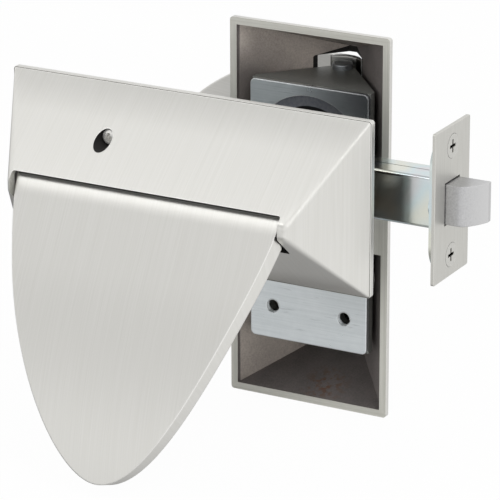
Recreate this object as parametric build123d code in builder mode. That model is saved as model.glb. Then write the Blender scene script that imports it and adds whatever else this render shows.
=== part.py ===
from build123d import *
import os
from math import asin, cos, degrees, radians, sin

os.makedirs("parts", exist_ok=True)

# Push-pull paddle latch set for a hinged door, in millimetres.
# The origin is on the spindle axis in the middle of the door. +X points to the door's edge,
# +Y from the push side to the pull side, and +Z up.

# Door
door_thickness = 44.45
backset = 69.85

# Paddle: a curved blade cast in one with its barrel and its drive arm
paddle_width = 112.4
paddle_drop = 96.0
paddle_lean = 29.7
paddle_straight = 32.6
paddle_curve_radius = 186.3
paddle_overrun = 1.2
paddle_thickness = 6.0
paddle_bevel = 1.9
paddle_edge = 0.5
paddle_rim_round = 0.4
paddle_shoulder_width = 115.1
paddle_shoulder_drop = 12.0
paddle_tip_width = 56.5
barrel_radius = 7.3
barrel_blade_top = 3.0
barrel_set_in = 1.6

# Drive between the paddle's arm and the hub's stud
paddle_swing = 15.0
hub_swing = 60.0
stud_radius = 2.5
stud_play = 0.9
stud_height = 4.5
arm_gap = 1.3
arm_lap = 1.3
arm_length = 15.0
prong = 2.4

# Escutcheon: a hip-roofed casting, long side along the paddle's barrel
window_gap = 0.8
window_above = 5.1
window_below = 11.15
window_corner = 0.8
end_margin_near = 18.6
end_margin_far = 19.8
side_margin = 8.55
hub_offset = 24.4
lip_height = 2.4
lip_ledge = 0.4
lip_corner = 1.2
lip_round = 0.3
ridge_height = 42.0
ridge_inset_near = 15.5
ridge_inset_far = 20.5
hip_corner = 0.8
nose_drop = 3.2
nose_corner = 2.2
nose_round = 3.0
esc_wall = 2.4
barrel_clearance = 0.6
land_gap = 0.4
land_length = 20.4

# Pivot bracket, mounting plate and pivot pin
ridge_to_pivot = 14.5
ear_inset = 3.3
ear_thickness = 4.0
ear_radius = 4.6
ear_clearance = 0.6
plate_width = 49.6
plate_thickness = 2.0
plate_corner = 2.0
plate_edge_round = 0.3
bracket_base = 5.0
bracket_chamfer = 2.0
pin_radius = 2.5
pin_fit = 0.05
pin_head_radius = 3.9
pin_head = 2.3
pin_head_round = 0.8
clip_thickness = 0.8
clip_radius = 4.2
clip_groove = 0.5
pin_tail = 0.9
knuckle_gap = 0.4
fixing_hole_radius = 2.6
fixing_side_margin = 9.6
fixing_end_margin = 13.0
fixing_relief = 0.8

# Escutcheon screw
screw_side_margin = 7.9
screw_end_margin = 26.0
screw_seat = 15.2
screw_radius = 2.0
screw_head_radius = 3.1
screw_head = 2.4
screw_head_round = 1.3
screw_hole_gap = 0.3
screw_length = 12.2
screw_boss = 2.2
recess_width = 1.2
recess_depth = 1.4
recess_taper = 12.0

# Hub and spindle
hub_web = 1.8
flange_lap = 0.6
flange_gap = 0.2
flange_thickness = 1.9
flange_float = 0.15
flange_width = 3.4
bearing_fit = 0.08
cup_wall = 1.6
cup_floor = 2.0
cup_stand = 1.4
socket_wall = 2.3
spindle_side = 8.0
spindle_fit = 0.05
spindle_end_gap = 0.2

# Tubular latch
faceplate_height = 57.15
faceplate_width = 28.58
faceplate_thickness = 1.3
faceplate_corner = 0.8
faceplate_edge_round = 0.25
backplate_end_margin = 5.36
backplate_width = 25.4
backplate_thickness = 1.8
backplate_flat = 2.4
latch_screw_spacing = 41.28
latch_screw_head_radius = 4.5
latch_screw_radius = 2.1
latch_screw_length = 4.4
latch_screw_gap = 0.15
bolt_height = 15.2
bolt_width = 11.4
bolt_throw = 12.7
bolt_body = 10.0
bolt_flat = 5.0
bolt_nose = 2.0
bolt_bevel_lean = 68.0
bolt_gap = 0.5
bolt_edge_round = 0.4
case_width = 14.2
case_height = 19.4
case_wall = 1.1
case_fold = 1.4
case_seam = 0.4
case_seam_offset = 1.0
case_front = 25.0
case_tail = 12.0
stake_radius = 4.5
stake_thickness = 0.9
cam_fit = 0.08
cam_radius = 9.0
cam_arm_width = 5.6
cam_side_gap = 0.4
cam_pin_radius = 1.6
cam_pin_play = 0.35
journal_radius = 6.6
tail_thickness = 2.4
tail_offset = 1.5
tail_gap = 0.5
tail_rim = 2.0
spring_radius = 2.7
spring_wire = 0.9
spring_turns = 8
spring_seat = 2.0
stop_thickness = 1.5

# Derived places in the trim frame: x along the barrel, y up the trim, z out of the door
mid = -hub_offset
barrel_length = paddle_width - 2 * barrel_set_in
barrel_start = mid - barrel_length / 2
bracket_length = barrel_length - 2 * ear_inset
bracket_end = mid + bracket_length / 2
bracket_start = mid - bracket_length / 2
bracket_top = plate_thickness + bracket_base
window_length = barrel_length + 2 * window_gap
esc_near = mid + window_length / 2 + end_margin_near
esc_far = mid - window_length / 2 - end_margin_far
esc_length = esc_near - esc_far
esc_width = plate_width + 2 * side_margin
pivot_height = ridge_height - ridge_to_pivot
fixing_x = bracket_start + fixing_end_margin
fixing_y = plate_width / 2 - fixing_side_margin
screw_x = bracket_start + screw_end_margin
screw_y = plate_width / 2 - screw_side_margin
hub_hole_radius = plate_width / 2 - hub_web
flange_radius = hub_hole_radius + flange_lap
neck_radius = flange_radius - flange_width
cup_top = bracket_top + cup_stand
stud_top = cup_top + stud_height
arm_bottom = cup_top + arm_gap
stud_reach = pivot_height - (arm_bottom + stud_top) / 2
stud_offset = stud_reach * sin(radians(paddle_swing)) / cos(radians(paddle_swing)) / sin(radians(hub_swing))
socket_top = cup_top - cup_floor

push_face = Plane(origin=(0, -door_thickness / 2, 0), x_dir=(1, 0, 0), z_dir=(0, -1, 0))
pull_face = Plane(origin=(0, door_thickness / 2, 0), x_dir=(0, 0, 1), z_dir=(0, 1, 0))


def keep(part, name):
    """Label one finished piece and write it."""
    part.label = name
    export_step(part, f"parts/{name}.step")


def keep_pair(part, name):
    """Place a trim piece on the push side and on the pull side of the door."""
    for side, face in (("front", push_face), ("rear", pull_face)):
        with BuildPart() as placed:
            with Locations(face):
                add(part)
        keep(placed.part, f"{side}_{name}")


# Escutcheon: flat roof faces that meet in hips, sharp at the lip and rounder towards the ridge
half_width = esc_width / 2 - lip_ledge
near_end = esc_near - lip_ledge
far_end = esc_far + lip_ledge
nose_height = ridge_height - nose_drop
nose_share = (nose_height - lip_height) / (ridge_height - lip_height)
nose_near = near_end - ridge_inset_near * nose_share
nose_far = far_end + ridge_inset_far * nose_share
nose_width = 2 * half_width * (1 - nose_share)

with BuildPart() as outer_form:
    with BuildSketch(Plane.XY):
        with Locations(((esc_near + esc_far) / 2, 0)):
            RectangleRounded(esc_length, esc_width, lip_corner)
    extrude(amount=lip_height)
    fillet(outer_form.edges().group_by(Axis.Z)[-1], lip_round)
    with BuildSketch(Plane.XY.offset(lip_height)):
        with Locations(((near_end + far_end) / 2, 0)):
            RectangleRounded(near_end - far_end, 2 * half_width, hip_corner)
    with BuildSketch(Plane.XY.offset(nose_height)):
        with Locations(((nose_near + nose_far) / 2, 0)):
            RectangleRounded(nose_near - nose_far, nose_width, nose_corner)
    loft(ruled=True)
    fillet(outer_form.edges().group_by(Axis.Z)[-1], nose_round)

with BuildPart() as hollow:
    skirt = -2 * esc_wall
    with BuildSketch(Plane.YZ):
        Polygon(
            (half_width, lip_height),
            (half_width, skirt),
            (-half_width, skirt),
            (-half_width, lip_height),
            (0, ridge_height),
            align=None,
        )
        offset(amount=-esc_wall, kind=Kind.INTERSECTION)
    extrude(amount=esc_length, both=True)
    with BuildSketch(Plane.XZ):
        Polygon(
            (far_end, skirt),
            (far_end, lip_height),
            (nose_far, nose_height),
            (nose_near, nose_height),
            (near_end, lip_height),
            (near_end, skirt),
            align=None,
        )
        offset(amount=-esc_wall, kind=Kind.INTERSECTION)
    extrude(amount=esc_width, both=True, mode=Mode.INTERSECT)

# Lands that hold the plate sideways, and the boss under the screw
with BuildPart() as inner_lands:
    with BuildSketch(Plane.XY):
        for side in (-1, 1):
            with Locations((mid, side * (plate_width / 2 + land_gap + side_margin / 2))):
                Rectangle(land_length, side_margin)
    extrude(amount=bracket_top)
    with BuildSketch(Plane.XY.offset(bracket_top)):
        with Locations((screw_x, screw_y)):
            Circle(screw_head_radius + screw_hole_gap + screw_boss)
    extrude(amount=ridge_height)
    add(outer_form.part, mode=Mode.INTERSECT)

with BuildPart() as escutcheon:
    add(outer_form.part)
    add(hollow.part, mode=Mode.SUBTRACT)
    add(inner_lands.part)
    with BuildSketch(Plane.XY.offset(bracket_top)):
        with Locations((mid, (window_above - window_below) / 2)):
            RectangleRounded(window_length, window_above + window_below, window_corner)
    extrude(amount=ridge_height, mode=Mode.SUBTRACT)
    with BuildSketch(Plane.YZ.offset(mid - window_length / 2)):
        with Locations((0, pivot_height)):
            Circle(barrel_radius + barrel_clearance)
    extrude(amount=window_length, mode=Mode.SUBTRACT)
    with BuildSketch(Plane.XY.offset(screw_seat)):
        with Locations((screw_x, screw_y)):
            Circle(screw_head_radius + screw_hole_gap)
    extrude(amount=ridge_height, mode=Mode.SUBTRACT)
    with BuildSketch(Plane.XY):
        with Locations((screw_x, screw_y)):
            Circle(screw_radius + screw_hole_gap)
    extrude(amount=ridge_height, mode=Mode.SUBTRACT)
keep_pair(escutcheon.part, "escutcheon")


# Mounting plate
def fixing_places():
    """The two fixing holes that take the through-door bolts."""
    return Locations((fixing_x, fixing_y), (fixing_x, -fixing_y))


with BuildPart() as mounting_plate:
    with BuildSketch(Plane.XY):
        with Locations((mid, 0)):
            RectangleRounded(bracket_length, plate_width, plate_corner)
        Circle(hub_hole_radius, mode=Mode.SUBTRACT)
        with fixing_places():
            Circle(fixing_hole_radius, mode=Mode.SUBTRACT)
    extrude(amount=plate_thickness)
    fillet(mounting_plate.edges().group_by(Axis.Z)[0], plate_edge_round)
keep_pair(mounting_plate.part, "mounting_plate")


# Pivot bracket
def base_section():
    """The bracket base across the trim, with its outer corners taken off."""
    half = plate_width / 2
    Polygon(
        (-half, plate_thickness),
        (half, plate_thickness),
        (half, bracket_top - bracket_chamfer),
        (half - bracket_chamfer, bracket_top),
        (-half + bracket_chamfer, bracket_top),
        (-half, bracket_top - bracket_chamfer),
        align=None,
    )


with BuildPart() as pivot_bracket:
    with BuildSketch(Plane.YZ.offset(bracket_start)):
        base_section()
    extrude(amount=bracket_length)
    for start in (bracket_start, bracket_end - ear_thickness):
        with BuildSketch(Plane.YZ.offset(start)) as ear:
            base_section()
            with Locations((0, pivot_height)):
                Circle(ear_radius)
            make_hull(ear.edges())
        extrude(amount=ear_thickness)
    with BuildSketch(Plane.YZ.offset(bracket_start)):
        with Locations((0, pivot_height)):
            Circle(pin_radius + pin_fit)
    extrude(amount=bracket_length, mode=Mode.SUBTRACT)
    with BuildSketch(Plane.XY.offset(plate_thickness)):
        Circle(flange_radius + flange_gap)
    extrude(amount=flange_thickness + flange_float, mode=Mode.SUBTRACT)
    with BuildSketch(Plane.XY.offset(plate_thickness)):
        Circle(neck_radius + bearing_fit)
        with fixing_places():
            Circle(fixing_hole_radius + fixing_relief)
        with Locations((screw_x, screw_y)):
            Circle(screw_radius + pin_fit)
    extrude(amount=bracket_base, mode=Mode.SUBTRACT)
keep_pair(pivot_bracket.part, "pivot_bracket")

# Pivot pin with a button head, and the ring that keeps it in the ears
with BuildPart() as pivot_pin:
    with BuildSketch(Plane.YZ.offset(bracket_end)):
        with Locations((0, pivot_height)):
            Circle(pin_head_radius)
    extrude(amount=pin_head)
    fillet(pivot_pin.edges().group_by(Axis.X)[-1], pin_head_round)
    with BuildSketch(Plane.YZ.offset(bracket_start - clip_thickness - pin_tail)):
        with Locations((0, pivot_height)):
            Circle(pin_radius)
    extrude(amount=bracket_length + clip_thickness + pin_tail)
    with BuildSketch(Plane.YZ.offset(bracket_start - clip_thickness)):
        with Locations((0, pivot_height)):
            Circle(pin_radius)
            Circle(pin_radius - clip_groove, mode=Mode.SUBTRACT)
    extrude(amount=clip_thickness, mode=Mode.SUBTRACT)
keep_pair(pivot_pin.part, "pivot_pin")

with BuildPart() as pin_clip:
    with BuildSketch(Plane.YZ.offset(bracket_start - clip_thickness)):
        with Locations((0, pivot_height)):
            Circle(clip_radius)
            Circle(pin_radius - clip_groove, mode=Mode.SUBTRACT)
            with Locations((0, -clip_radius)):
                Rectangle(2 * pin_radius - 2 * clip_groove, 2 * clip_radius, mode=Mode.SUBTRACT)
    extrude(amount=clip_thickness)
keep_pair(pin_clip.part, "pin_clip")


# Paddle
def blade_point(lean_deg, depth):
    """Point of the blade's profile where its face leans by lean_deg, depth below the front face."""
    lean = radians(paddle_lean)
    here = radians(lean_deg)
    start_y = barrel_radius * sin(lean) - paddle_straight * cos(lean)
    start_z = pivot_height + barrel_radius * cos(lean) + paddle_straight * sin(lean)
    centre_y = start_y - paddle_curve_radius * sin(lean)
    centre_z = start_z - paddle_curve_radius * cos(lean)
    reach = paddle_curve_radius - depth
    return (centre_y + reach * sin(here), centre_z + reach * cos(here))


def barrel_point(depth):
    """Point where the blade's straight stretch leaves the barrel, depth below the front face."""
    lean = radians(paddle_lean)
    reach = barrel_radius - depth
    return (reach * sin(lean), pivot_height + reach * cos(lean))


with BuildPart() as paddle:
    curve_centre_y = blade_point(0, 0)[0]
    tip_lean = degrees(asin((-paddle_drop - curve_centre_y) / paddle_curve_radius)) - paddle_overrun
    half_lean = (paddle_lean + tip_lean) / 2
    blade_reach = max(paddle_width, paddle_shoulder_width)
    with BuildSketch(Plane.YZ.offset(mid - blade_reach / 2)):
        with BuildLine():
            Line(barrel_point(0), blade_point(paddle_lean, 0))
            ThreePointArc(blade_point(paddle_lean, 0), blade_point(half_lean, 0), blade_point(tip_lean, 0))
            Line(blade_point(tip_lean, 0), blade_point(tip_lean, paddle_thickness))
            ThreePointArc(
                blade_point(tip_lean, paddle_thickness),
                blade_point(half_lean, paddle_thickness),
                blade_point(paddle_lean, paddle_thickness),
            )
            Line(blade_point(paddle_lean, paddle_thickness), barrel_point(paddle_thickness))
            Line(barrel_point(paddle_thickness), barrel_point(0))
        make_face()
    extrude(amount=blade_reach)
    with BuildSketch(Plane.XY):
        shoulder = paddle_shoulder_width / 2
        tip = paddle_tip_width / 2
        half = paddle_width / 2
        with BuildLine():
            Polyline(
                (mid - half, barrel_blade_top),
                (mid - half, barrel_radius),
                (mid + half, barrel_radius),
                (mid + half, barrel_blade_top),
            )
            for side in (-1, 1):
                Bezier(
                    (mid + side * half, barrel_blade_top),
                    (mid + side * shoulder, barrel_blade_top - paddle_shoulder_drop),
                    (mid + side * tip, -paddle_drop),
                    (mid, -paddle_drop),
                )
        make_face()
    extrude(amount=2 * ridge_height + paddle_drop, mode=Mode.INTERSECT)
    curved_front = paddle.faces().filter_by(GeomType.CYLINDER).sort_by(SortBy.AREA)[-1]
    rim = curved_front.edges().sort_by(SortBy.LENGTH)[-1]
    chamfer(rim, paddle_bevel, paddle_thickness - paddle_edge, reference=curved_front)
    bevelled_front = paddle.faces().filter_by(GeomType.CYLINDER).sort_by(SortBy.AREA)[-1]
    fillet(bevelled_front.edges().sort_by(SortBy.LENGTH)[-1], paddle_rim_round)
    notch_x = (barrel_length + paddle_width) / 2
    notch_y = (barrel_radius - window_below) / 2
    with BuildSketch(Plane.XY):
        with Locations((mid - notch_x, notch_y), (mid + notch_x, notch_y)):
            Rectangle(paddle_width, barrel_radius + window_below)
    extrude(amount=2 * ridge_height, mode=Mode.SUBTRACT)
    with BuildSketch(Plane.YZ.offset(barrel_start)):
        with Locations((0, pivot_height)):
            Circle(barrel_radius)
    extrude(amount=barrel_length)
    with BuildSketch(Plane.XY.offset(arm_bottom)):
        with Locations((-stud_offset, 0)):
            Rectangle(arm_length, 2 * (stud_radius + stud_play + prong))
    extrude(amount=pivot_height - arm_bottom)
    with BuildSketch(Plane.XY.offset(arm_bottom)):
        with Locations((-stud_offset, 0)):
            Rectangle(arm_length, 2 * (stud_radius + stud_play))
    extrude(amount=stud_top + arm_lap - arm_bottom, mode=Mode.SUBTRACT)
    with BuildSketch(Plane.YZ.offset(barrel_start)):
        with Locations((0, pivot_height)):
            Circle(pin_radius + pin_fit)
    extrude(amount=barrel_length, mode=Mode.SUBTRACT)
    hood = ear_inset + ear_thickness + knuckle_gap
    for start in (barrel_start, barrel_start + barrel_length - hood):
        with BuildSketch(Plane.YZ.offset(start)) as relief:
            with Locations((0, pivot_height)):
                Circle(ear_radius + ear_clearance)
            Polygon((-plate_width, pivot_height / 2), (0, 0), (plate_width, pivot_height / 2), align=None)
            make_hull(relief.edges())
        extrude(amount=hood, mode=Mode.SUBTRACT)
keep_pair(paddle.part, "paddle")

# Hub: a turned cup with a square socket and an off-centre stud
with BuildPart() as hub:
    flange_bottom = plate_thickness + flange_float / 2
    with BuildSketch(Plane.XZ):
        with BuildLine():
            Polyline(
                (0, socket_top),
                (neck_radius - cup_wall, socket_top),
                (neck_radius - cup_wall, flange_bottom),
                (flange_radius, flange_bottom),
                (flange_radius, flange_bottom + flange_thickness),
                (neck_radius, flange_bottom + flange_thickness),
                (neck_radius, cup_top),
                (0, cup_top),
                close=True,
            )
        make_face()
    revolve(axis=Axis.Z)
    with BuildSketch(Plane.XY.offset(plate_thickness)):
        Circle(spindle_side / 2 * 2**0.5 + socket_wall)
    extrude(amount=socket_top - plate_thickness)
    with BuildSketch(Plane.XY.offset(plate_thickness)):
        Rectangle(spindle_side + 2 * spindle_fit, spindle_side + 2 * spindle_fit)
    extrude(amount=socket_top - plate_thickness, mode=Mode.SUBTRACT)
    with BuildSketch(Plane.XY.offset(cup_top)):
        with Locations((-stud_offset, 0)):
            Circle(stud_radius)
    extrude(amount=stud_height)
keep_pair(hub.part, "hub")


def cross_recess(head_radius):
    """Crossed slots of a driver recess."""
    Rectangle(head_radius * 1.1, recess_width)
    Rectangle(recess_width, head_radius * 1.1)


# Escutcheon screw with a domed head
with BuildPart() as escutcheon_screw:
    with BuildSketch(Plane.XY.offset(screw_seat)):
        with Locations((screw_x, screw_y)):
            Circle(screw_head_radius)
    extrude(amount=screw_head)
    fillet(escutcheon_screw.edges().group_by(Axis.Z)[-1], screw_head_round)
    with BuildSketch(Plane.XY.offset(screw_seat - screw_length)):
        with Locations((screw_x, screw_y)):
            Circle(screw_radius)
    extrude(amount=screw_length)
    with BuildSketch(Plane.XY.offset(screw_seat + screw_head)):
        with Locations((screw_x, screw_y)):
            cross_recess(screw_head_radius)
    extrude(amount=-recess_depth, taper=recess_taper, mode=Mode.SUBTRACT)
keep_pair(escutcheon_screw.part, "escutcheon_screw")

# Spindle through both hubs and the latch
with BuildPart() as spindle:
    spindle_reach = door_thickness / 2 + socket_top - spindle_end_gap
    with BuildSketch(Plane.XZ):
        Rectangle(spindle_side, spindle_side)
    extrude(amount=spindle_reach, both=True)
keep(spindle.part, "spindle")

# Latch faceplate, the plate behind it and their screws
face_front = backset
face_back = face_front - faceplate_thickness
case_end = face_back - backplate_thickness
backplate_height = latch_screw_spacing + 2 * backplate_end_margin


def latch_screw_places():
    """Both faceplate screws, above and below the bolt."""
    return Locations((0, latch_screw_spacing / 2), (0, -latch_screw_spacing / 2))


with BuildPart() as faceplate:
    with BuildSketch(Plane.YZ.offset(face_back)):
        RectangleRounded(faceplate_width, faceplate_height, faceplate_corner)
    extrude(amount=faceplate_thickness)
    fillet(faceplate.edges().group_by(Axis.X)[-1], faceplate_edge_round)
    with BuildSketch(Plane.YZ.offset(face_back)):
        Rectangle(bolt_width + 2 * bolt_gap, bolt_height + 2 * bolt_gap)
    extrude(amount=faceplate_thickness, mode=Mode.SUBTRACT)
    for height in (latch_screw_spacing / 2, -latch_screw_spacing / 2):
        with Locations(Plane.YZ.offset(face_front)):
            with Locations((0, height)):
                CounterSinkHole(
                    latch_screw_radius + latch_screw_gap,
                    latch_screw_head_radius + latch_screw_gap,
                    counter_sink_angle=90,
                )
keep(faceplate.part, "faceplate")

with BuildPart() as backplate:
    with BuildSketch(Plane.YZ.offset(case_end)):
        RectangleRounded(backplate_width, backplate_height, (backplate_width - backplate_flat) / 2)
        Rectangle(bolt_width + 2 * bolt_gap, bolt_height + 2 * bolt_gap, mode=Mode.SUBTRACT)
        with latch_screw_places():
            Circle(latch_screw_head_radius - faceplate_thickness + latch_screw_gap, mode=Mode.SUBTRACT)
    extrude(amount=backplate_thickness)
keep(backplate.part, "latch_backplate")

with BuildPart() as faceplate_screws:
    for height in (latch_screw_spacing / 2, -latch_screw_spacing / 2):
        with BuildSketch(Plane.XZ):
            Polygon(
                (face_front, height),
                (face_front, height + latch_screw_head_radius),
                (face_front - latch_screw_head_radius + latch_screw_radius, height + latch_screw_radius),
                (face_front - latch_screw_length, height + latch_screw_radius),
                (face_front - latch_screw_length, height),
                align=None,
            )
        revolve(axis=Axis((0, 0, height), (1, 0, 0)))
    with BuildSketch(Plane.YZ.offset(face_front)):
        with latch_screw_places():
            cross_recess(latch_screw_head_radius)
    extrude(amount=-recess_depth, taper=recess_taper, mode=Mode.SUBTRACT)
keep(faceplate_screws.part, "faceplate_screws")


# Latch case: two folded halves that meet along a seam, with bare cheeks at the tail
def case_half(side):
    """One half of the case, on the push side (-1) or the pull side (1) of the seam."""
    inner_width = case_width - 2 * case_wall
    inner_height = case_height - 2 * case_wall
    with BuildPart() as half_case:
        with BuildSketch(Plane.YZ.offset(case_front)):
            RectangleRounded(case_width, case_height, case_fold)
            Rectangle(inner_width, inner_height, mode=Mode.SUBTRACT)
            with Locations((case_seam_offset - side * (case_width - case_seam / 2), 0)):
                Rectangle(2 * case_width, 2 * case_height, mode=Mode.SUBTRACT)
        extrude(amount=case_end - case_front)
        with BuildSketch(Plane.XZ.offset(-side * (case_width - case_wall) / 2)):
            with Locations(((case_front - case_tail) / 2, 0)):
                Rectangle(case_front + case_tail, case_height - 2 * case_fold)
        extrude(amount=case_wall / 2, both=True)
        with BuildSketch(Plane.YZ.offset(case_end)):
            with Locations((side * case_width / 2, 0)):
                Circle(stake_radius)
            Rectangle(inner_width, inner_height, mode=Mode.SUBTRACT)
        extrude(amount=-stake_thickness)
        with BuildSketch(Plane.XZ):
            Circle(journal_radius + cam_fit)
        extrude(amount=case_width, both=True, mode=Mode.SUBTRACT)
    return half_case.part


keep(case_half(-1), "latch_case_front_half")
keep(case_half(1), "latch_case_rear_half")

# Latch bolt with its rounded bevel towards the push side
bolt_back = face_front - bolt_body
with BuildPart() as latch_bolt:
    with BuildSketch(Plane.XY):
        half = bolt_width / 2
        bevel_start = (face_front + bolt_flat, -half)
        bevel_end = (face_front + bolt_throw, half - bolt_nose)
        bevel_lean = radians(bolt_bevel_lean)
        bevel_bend = (bevel_end[0] - (bolt_width - bolt_nose) * cos(bevel_lean) / sin(bevel_lean), -half)
        with BuildLine():
            Line((bolt_back, -half), bevel_start)
            Bezier(bevel_start, bevel_bend, bevel_end)
            Polyline(bevel_end, (face_front + bolt_throw, half), (bolt_back, half), (bolt_back, -half))
        make_face()
    extrude(amount=bolt_height / 2, both=True)
    fillet(latch_bolt.edges().group_by(Axis.Z)[-1], bolt_edge_round)
    fillet(latch_bolt.edges().group_by(Axis.Z)[0], bolt_edge_round)
keep(latch_bolt.part, "latch_bolt")

# Retractor cam on the spindle, its arm hanging down and leaning to the door's edge at rest
cam_throw = bolt_throw / 2 / sin(radians(hub_swing / 2))
cam_pin_x = bolt_throw / 2
cam_pin_z = -cam_throw * cos(radians(hub_swing / 2))
cam_back = tail_offset - cam_side_gap
cam_front = -case_width / 2 + case_wall + cam_side_gap
with BuildPart() as retractor_cam:
    with BuildSketch(Plane.XZ.offset(-cam_back)) as cam_plan:
        Circle(cam_radius)
        with Locations((cam_pin_x, cam_pin_z)):
            Circle(cam_arm_width / 2)
        make_hull(cam_plan.edges())
    extrude(amount=cam_back - cam_front)
    with BuildSketch(Plane.XZ):
        Circle(journal_radius)
    extrude(amount=case_width / 2, both=True)
    with BuildSketch(Plane.XZ.offset(-tail_offset - tail_thickness - cam_side_gap)):
        with Locations((cam_pin_x, cam_pin_z)):
            Circle(cam_pin_radius)
    extrude(amount=tail_offset + tail_thickness + cam_side_gap - cam_front)
    with BuildSketch(Plane.XZ):
        Rectangle(spindle_side + 2 * spindle_fit, spindle_side + 2 * spindle_fit)
    extrude(amount=case_width, both=True, mode=Mode.SUBTRACT)
keep(retractor_cam.part, "retractor_cam")

# Bolt tail: a flat bar that drops below the cam's journal and takes the cam's pin in an upright slot
slot_half = cam_pin_radius + cam_pin_play
slot_rise = cam_throw + cam_pin_z
with BuildPart() as bolt_tail:
    bar = bolt_height / 2 - tail_rim
    neck_x = bolt_throw + journal_radius + tail_gap
    toe_top = -journal_radius - tail_gap
    toe_x = cam_pin_x - slot_half - tail_rim
    toe_bottom = -cam_throw - slot_half - tail_rim
    heel_x = case_front - tail_gap
    with BuildSketch(Plane.XZ.offset(-tail_offset)):
        Polygon(
            (bolt_back, bar),
            (neck_x, bar),
            (neck_x, toe_top),
            (toe_x, toe_top),
            (toe_x, toe_bottom),
            (heel_x, toe_bottom),
            (heel_x, -bar),
            (bolt_back, -bar),
            align=None,
        )
        with Locations((cam_pin_x, -cam_throw + slot_rise / 2)):
            SlotOverall(slot_rise + 2 * slot_half, 2 * slot_half, rotation=90, mode=Mode.SUBTRACT)
    extrude(amount=-tail_thickness)
keep(bolt_tail.part, "bolt_tail")

# Spring stop across the case, and the spring between it and the bolt
stop_front = case_front + spring_seat + stop_thickness
inner_y = case_width / 2 - case_wall
stop_edge = tail_offset - cam_side_gap
spring_y = (stop_edge - inner_y) / 2
with BuildPart() as spring_stop:
    with BuildSketch(Plane.YZ.offset(stop_front - stop_thickness)):
        with Locations((spring_y, 0)):
            Rectangle(stop_edge + inner_y, case_height - 2 * case_wall)
    extrude(amount=stop_thickness)
keep(spring_stop.part, "spring_stop")

with BuildPart() as latch_spring:
    coil_length = bolt_back - stop_front - spring_wire
    coil_start = (stop_front + spring_wire / 2, spring_y, 0)
    with BuildLine() as coil:
        Helix(coil_length / spring_turns, coil_length, spring_radius, center=coil_start, direction=(1, 0, 0))
    with BuildSketch(coil.line ^ 0):
        Circle(spring_wire / 2)
    sweep(path=coil.line, is_frenet=True)
keep(latch_spring.part, "latch_spring")
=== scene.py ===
from math import cos, radians, sin

import bmesh
import bpy
from mathutils import Matrix, Vector


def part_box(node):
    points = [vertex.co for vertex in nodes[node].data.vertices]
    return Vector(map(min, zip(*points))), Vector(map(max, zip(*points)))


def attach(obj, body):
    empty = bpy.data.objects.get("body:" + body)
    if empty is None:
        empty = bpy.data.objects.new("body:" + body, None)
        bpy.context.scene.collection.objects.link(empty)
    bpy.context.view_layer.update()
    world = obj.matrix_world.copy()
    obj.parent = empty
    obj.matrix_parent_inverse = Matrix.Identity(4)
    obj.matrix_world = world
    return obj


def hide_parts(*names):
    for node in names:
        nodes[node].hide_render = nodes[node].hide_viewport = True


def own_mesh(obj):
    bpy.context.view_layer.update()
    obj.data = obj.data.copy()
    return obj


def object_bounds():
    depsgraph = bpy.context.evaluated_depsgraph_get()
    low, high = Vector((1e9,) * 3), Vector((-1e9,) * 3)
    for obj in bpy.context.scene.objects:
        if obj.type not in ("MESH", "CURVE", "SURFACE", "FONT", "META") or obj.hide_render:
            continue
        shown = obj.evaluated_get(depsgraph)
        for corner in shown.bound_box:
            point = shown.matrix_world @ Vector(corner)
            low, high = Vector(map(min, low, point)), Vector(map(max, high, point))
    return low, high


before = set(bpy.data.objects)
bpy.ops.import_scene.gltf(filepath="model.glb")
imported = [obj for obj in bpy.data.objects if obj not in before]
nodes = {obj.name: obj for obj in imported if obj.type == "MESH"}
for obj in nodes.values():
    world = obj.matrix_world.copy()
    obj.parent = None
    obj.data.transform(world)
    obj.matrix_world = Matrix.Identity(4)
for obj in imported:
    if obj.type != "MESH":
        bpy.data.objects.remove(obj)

# Push and pull paddle latch set. Lengths are in metres, and MM turns millimetres into them.
MM = 0.001
cad_low, cad_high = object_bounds()

# Photograph's camera: its direction from the object, its distance and the shift of its line of sight
VIEW_AZIMUTH = 28.597
VIEW_ELEVATION = 19.473
VIEW_ROLL = -0.13
VIEW_DISTANCE = 1273.53 * MM
VIEW_RIGHT = 11.353 * MM
VIEW_UP = 28.811 * MM
LENS_MM = 248.72
SENSOR_MM = 36.0

# Trim on each face of the door: the way its barrel runs, the way from barrel to screw, and outward
TRIM_SIDES = {
    "front": {"barrel": Vector((1, 0, 0)), "up": Vector((0, 0, 1)), "outward": Vector((0, -1, 0))},
    "rear": {"barrel": Vector((0, 0, 1)), "up": Vector((1, 0, 0)), "outward": Vector((0, 1, 0))},
}
plate_low, plate_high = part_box("front_mounting_plate")
door_half = -plate_high.y
plate_thickness = plate_high.y - plate_low.y
PADDLE_MIDDLE_FROM_HUB = 24.4 * MM
HUB_RECESS_RADIUS = 18.0 * MM

# Escutcheon's zones: depths from the door, heights up the trim, and how far a face leans one way
RIM_TOLERANCE = 0.05 * MM
RIM_END_REACH = 70 * MM
LIP_HEIGHT = 2.4 * MM
LIP_INSIDE_DEPTH = 2.7 * MM
HOLLOW_DEPTH = 9 * MM
WINDOW_DEPTH = 24 * MM
WINDOW_LOW = -11.3 * MM
WINDOW_HIGH = 5.3 * MM
SCREW_BORE_REACH = 4.5 * MM
BORE_WALL_LEAN = 0.3
LEDGE_LEAN = 0.9
END_WALL_LEAN = 0.7
SHADE_LEAN = 0.2

# CAD meshes: corners nearer than this are one, and a sharper fold than this stays sharp
MERGE_DISTANCE = 0.001 * MM
FOLD_ANGLE = radians(28)
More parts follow.
